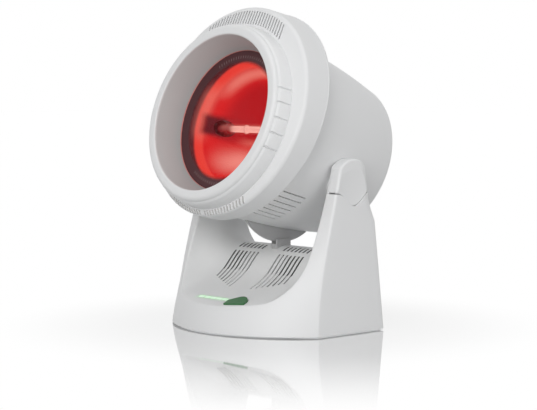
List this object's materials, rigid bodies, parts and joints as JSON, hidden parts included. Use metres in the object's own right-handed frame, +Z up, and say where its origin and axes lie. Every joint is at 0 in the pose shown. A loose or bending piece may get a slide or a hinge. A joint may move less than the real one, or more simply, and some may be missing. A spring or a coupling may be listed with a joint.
{
  "type": "infrared heat therapy lamp",
  "caption": "Table-top infrared heat lamp: a round vented head with a red filter glass tilts between the two arms of a bow-fronted base with a push button and indicator lights.",
  "frame": {"origin": "on the table under the middle of the overall width and length, at the feet's underside", "axes": "+X to the lamp's right as it faces the viewer, -Y towards the front that the glass faces, +Z up"},
  "size_m": [0.192, 0.1984, 0.2813],
  "materials": {
    "white_housing": "fine matt moulded",
    "grey_plastic": "matt moulded",
    "green_button": "satin moulded",
    "light_guide": "translucent",
    "red_filter": "ceramic filter glass, clear polished",
    "quartz": "polished",
    "reflector_metal": "dimpled, bright",
    "steel": "zinc plated",
    "tungsten": "drawn wire",
    "ceramic": "unglazed ceramic",
    "black_plastic": "matt moulded",
    "rubber": "soft, matt",
    "acetal": "low friction moulded",
    "board_green": "solder resist",
    "blue_plastic": "moulded",
    "friction_pad": "pressed felt"
  },
  "bodies": {
    "base": {"base_shell": "white_housing", "arm_cap_right": "white_housing", "arm_cap_left": "white_housing", "base_plate": "white_housing", "base_screws": "steel", "rubber_feet": "rubber", "guide_post": "grey_plastic", "brake_pads": "friction_pad", "light_guide": "light_guide", "indicator_leds": "acetal", "control_board": "board_green", "board_screws": "steel", "push_switch": "black_plastic", "power_board": "board_green", "relay": "blue_plastic", "capacitor": "black_plastic", "terminal_block": "acetal", "cord_gland": "white_housing", "thrust_washer_right": "acetal", "thrust_washer_left": "acetal", "pivot_bush_right": "acetal", "pivot_bush_left": "acetal"},
    "head": {"pivot_axle_right": "steel", "pivot_axle_left": "steel", "spring_washer_right": "steel", "spring_washer_left": "steel", "pivot_nut_right": "steel", "pivot_nut_left": "steel", "tilt_quadrant": "grey_plastic", "front_collar": "white_housing", "front_housing": "white_housing", "rear_housing": "white_housing", "housing_screws": "steel", "glass_filter": "red_filter", "glass_gasket": "rubber", "reflector": "reflector_metal", "lamp_tube": "quartz", "heating_element": "tungsten", "socket_brackets": "steel", "heat_shield": "steel", "thermal_cutout": "black_plastic", "fan_frame": "black_plastic", "fan_screws": "steel", "lamp_socket_right": "ceramic", "lamp_socket_left": "ceramic"},
    "button": {"button": "green_button"},
    "fan": {"fan_rotor": "black_plastic"}
  },
  "joints": [
    {"name": "head_tilt", "type": "hinge", "parent": "base", "child": "head", "pos_m": [0, 0.01, 0.1295], "axis": [-1, 0, 0], "range_deg": [-18, 12]},
    {"name": "button_press", "type": "slide", "parent": "base", "child": "button", "axis": [0, 0.2965, -0.955], "range_m": [0, 0.001], "stiffness_N_per_m": 300},
    {"name": "fan_spin", "type": "hinge", "parent": "head", "child": "fan", "pos_m": [0, 0.06803, 0.14747], "axis": [0, -0.9542, 0.299], "continuous": true}
  ]
}
